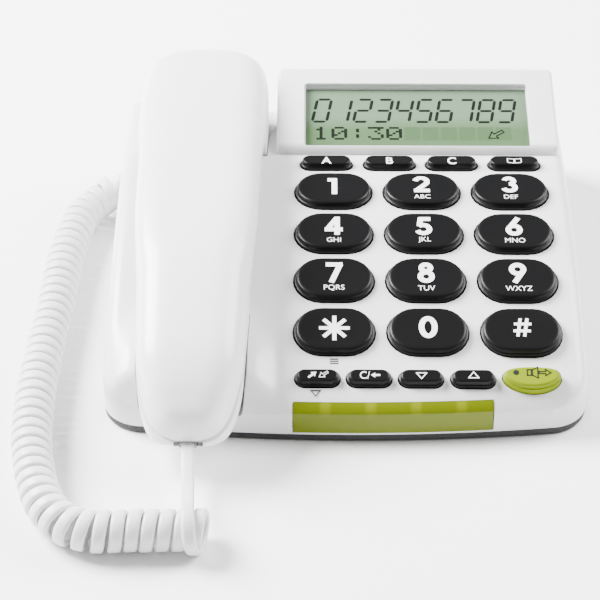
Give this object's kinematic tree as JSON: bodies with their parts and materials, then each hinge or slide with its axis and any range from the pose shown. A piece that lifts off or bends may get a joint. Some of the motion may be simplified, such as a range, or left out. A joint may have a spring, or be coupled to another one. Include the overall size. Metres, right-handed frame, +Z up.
{
  "type": "corded desk telephone",
  "caption": "corded desk telephone with large oval keys, a raised display, a lime indicator bar and a handset resting in a cradle",
  "frame": {"origin": "middle of the footprint of base and handset, on the desk plane under the feet", "axes": "+Z up, +Y from the user towards the back, +X to the user's right"},
  "size_m": [0.2247, 0.272, 0.0672],
  "materials": {
    "base_top_shell": "fine satin white ABS",
    "base_bottom_shell": "dark grey ABS",
    "display_bezel": "fine satin white ABS",
    "display_window": "clear plastic",
    "lcd_module": "green liquid crystal",
    "indicator_lens": "translucent lime lens",
    "indicator_led_strip": "circuit board",
    "key_mat": "silicone rubber",
    "main_board": "circuit board",
    "loudspeaker": "moulded component",
    "hook_switch": "moulded component",
    "line_jack": "moulded component",
    "handset_jack": "moulded component",
    "foot_1": "black rubber",
    "foot_2": "black rubber",
    "foot_3": "black rubber",
    "foot_4": "black rubber",
    "screw_1": "zinc plated steel",
    "screw_2": "zinc plated steel",
    "screw_3": "zinc plated steel",
    "screw_4": "zinc plated steel",
    "curly_cord": "white cord jacket",
    "base_lead": "white cord jacket",
    "base_plug": "clear plastic",
    "handset_lead": "white cord jacket",
    "handset_top_shell": "satin white ABS",
    "handset_bottom_shell": "satin white ABS",
    "earpiece_speaker": "moulded component",
    "microphone": "moulded component",
    "handset_weight": "zinc plated steel",
    "handset_socket": "moulded component",
    "handset_screw_1": "zinc plated steel",
    "handset_screw_2": "zinc plated steel",
    "handset_plug": "clear plastic",
    "hook_plunger": "moulded component",
    "key_1": "black satin keycap",
    "key_2": "black satin keycap",
    "key_3": "black satin keycap",
    "key_4": "black satin keycap",
    "key_5": "black satin keycap",
    "key_6": "black satin keycap",
    "key_7": "black satin keycap",
    "key_8": "black satin keycap",
    "key_9": "black satin keycap",
    "key_star": "black satin keycap",
    "key_0": "black satin keycap",
    "key_hash": "black satin keycap",
    "key_memory_a": "black satin keycap",
    "key_memory_b": "black satin keycap",
    "key_memory_c": "black satin keycap",
    "key_phonebook": "black satin keycap",
    "key_redial": "black satin keycap",
    "key_clear": "black satin keycap",
    "key_down": "black satin keycap",
    "key_up": "black satin keycap",
    "key_speaker": "lime keycap"
  },
  "bodies": {
    "base": {"base_top_shell": "base_top_shell", "base_bottom_shell": "base_bottom_shell", "display_bezel": "display_bezel", "display_window": "display_window", "lcd_module": "lcd_module", "indicator_lens": "indicator_lens", "indicator_led_strip": "indicator_led_strip", "key_mat": "key_mat", "main_board": "main_board", "loudspeaker": "loudspeaker", "hook_switch": "hook_switch", "line_jack": "line_jack", "handset_jack": "handset_jack", "foot_1": "foot_1", "foot_2": "foot_2", "foot_3": "foot_3", "foot_4": "foot_4", "screw_1": "screw_1", "screw_2": "screw_2", "screw_3": "screw_3", "screw_4": "screw_4", "curly_cord": "curly_cord", "base_lead": "base_lead", "base_plug": "base_plug", "handset_lead": "handset_lead"},
    "handset": {"handset_top_shell": "handset_top_shell", "handset_bottom_shell": "handset_bottom_shell", "earpiece_speaker": "earpiece_speaker", "microphone": "microphone", "handset_weight": "handset_weight", "handset_socket": "handset_socket", "handset_screw_1": "handset_screw_1", "handset_screw_2": "handset_screw_2", "handset_plug": "handset_plug"},
    "hook_plunger": {"hook_plunger": "hook_plunger"},
    "key_1": {"key_1": "key_1"},
    "key_2": {"key_2": "key_2"},
    "key_3": {"key_3": "key_3"},
    "key_4": {"key_4": "key_4"},
    "key_5": {"key_5": "key_5"},
    "key_6": {"key_6": "key_6"},
    "key_7": {"key_7": "key_7"},
    "key_8": {"key_8": "key_8"},
    "key_9": {"key_9": "key_9"},
    "key_star": {"key_star": "key_star"},
    "key_0": {"key_0": "key_0"},
    "key_hash": {"key_hash": "key_hash"},
    "key_memory_a": {"key_memory_a": "key_memory_a"},
    "key_memory_b": {"key_memory_b": "key_memory_b"},
    "key_memory_c": {"key_memory_c": "key_memory_c"},
    "key_phonebook": {"key_phonebook": "key_phonebook"},
    "key_redial": {"key_redial": "key_redial"},
    "key_clear": {"key_clear": "key_clear"},
    "key_down": {"key_down": "key_down"},
    "key_up": {"key_up": "key_up"},
    "key_speaker": {"key_speaker": "key_speaker"}
  },
  "joints": [
    {"name": "handset_lift", "type": "slide", "parent": "base", "child": "handset", "axis": [0, 0, 1], "range_m": [0, 0.06]},
    {"name": "hook_plunger_travel", "type": "slide", "parent": "base", "child": "hook_plunger", "axis": [0, 0, 1], "range_m": [0, 0.003]},
    {"name": "key_1_press", "type": "slide", "parent": "base", "child": "key_1", "axis": [0, 0.0777, -0.997], "range_m": [0, 0.0018], "stiffness_N_per_m": 400},
    {"name": "key_2_press", "type": "slide", "parent": "base", "child": "key_2", "axis": [0, 0.0777, -0.997], "range_m": [0, 0.0018], "stiffness_N_per_m": 400},
    {"name": "key_3_press", "type": "slide", "parent": "base", "child": "key_3", "axis": [0, 0.0777, -0.997], "range_m": [0, 0.0018], "stiffness_N_per_m": 400},
    {"name": "key_4_press", "type": "slide", "parent": "base", "child": "key_4", "axis": [0, 0.1486, -0.9889], "range_m": [0, 0.0018], "stiffness_N_per_m": 400},
    {"name": "key_5_press", "type": "slide", "parent": "base", "child": "key_5", "axis": [0, 0.1486, -0.9889], "range_m": [0, 0.0018], "stiffness_N_per_m": 400},
    {"name": "key_6_press", "type": "slide", "parent": "base", "child": "key_6", "axis": [0, 0.1486, -0.9889], "range_m": [0, 0.0018], "stiffness_N_per_m": 400},
    {"name": "key_7_press", "type": "slide", "parent": "base", "child": "key_7", "axis": [0, 0.2158, -0.9764], "range_m": [0, 0.0018], "stiffness_N_per_m": 400},
    {"name": "key_8_press", "type": "slide", "parent": "base", "child": "key_8", "axis": [0, 0.2158, -0.9764], "range_m": [0, 0.0018], "stiffness_N_per_m": 400},
    {"name": "key_9_press", "type": "slide", "parent": "base", "child": "key_9", "axis": [0, 0.2158, -0.9764], "range_m": [0, 0.0018], "stiffness_N_per_m": 400},
    {"name": "key_star_press", "type": "slide", "parent": "base", "child": "key_star", "axis": [0, 0.2789, -0.9603], "range_m": [0, 0.0018], "stiffness_N_per_m": 400},
    {"name": "key_0_press", "type": "slide", "parent": "base", "child": "key_0", "axis": [0, 0.2789, -0.9603], "range_m": [0, 0.0018], "stiffness_N_per_m": 400},
    {"name": "key_hash_press", "type": "slide", "parent": "base", "child": "key_hash", "axis": [0, 0.2789, -0.9603], "range_m": [0, 0.0018], "stiffness_N_per_m": 400},
    {"name": "key_memory_a_press", "type": "slide", "parent": "base", "child": "key_memory_a", "axis": [0, 0.0236, -0.9997], "range_m": [0, 0.0018], "stiffness_N_per_m": 400},
    {"name": "key_memory_b_press", "type": "slide", "parent": "base", "child": "key_memory_b", "axis": [0, 0.0236, -0.9997], "range_m": [0, 0.0018], "stiffness_N_per_m": 400},
    {"name": "key_memory_c_press", "type": "slide", "parent": "base", "child": "key_memory_c", "axis": [0, 0.0236, -0.9997], "range_m": [0, 0.0018], "stiffness_N_per_m": 400},
    {"name": "key_phonebook_press", "type": "slide", "parent": "base", "child": "key_phonebook", "axis": [0, 0.0236, -0.9997], "range_m": [0, 0.0018], "stiffness_N_per_m": 400},
    {"name": "key_redial_press", "type": "slide", "parent": "base", "child": "key_redial", "axis": [0, 0.3284, -0.9446], "range_m": [0, 0.0018], "stiffness_N_per_m": 400},
    {"name": "key_clear_press", "type": "slide", "parent": "base", "child": "key_clear", "axis": [0, 0.3284, -0.9446], "range_m": [0, 0.0018], "stiffness_N_per_m": 400},
    {"name": "key_down_press", "type": "slide", "parent": "base", "child": "key_down", "axis": [0, 0.3284, -0.9446], "range_m": [0, 0.0018], "stiffness_N_per_m": 400},
    {"name": "key_up_press", "type": "slide", "parent": "base", "child": "key_up", "axis": [0, 0.3284, -0.9446], "range_m": [0, 0.0018], "stiffness_N_per_m": 400},
    {"name": "key_speaker_press", "type": "slide", "parent": "base", "child": "key_speaker", "axis": [0, 0.3297, -0.9441], "range_m": [0, 0.0018], "stiffness_N_per_m": 400}
  ],
  "couplings": [
    {"joint": "hook_plunger_travel", "follows": "handset_lift", "ratio": 0.05}
  ]
}
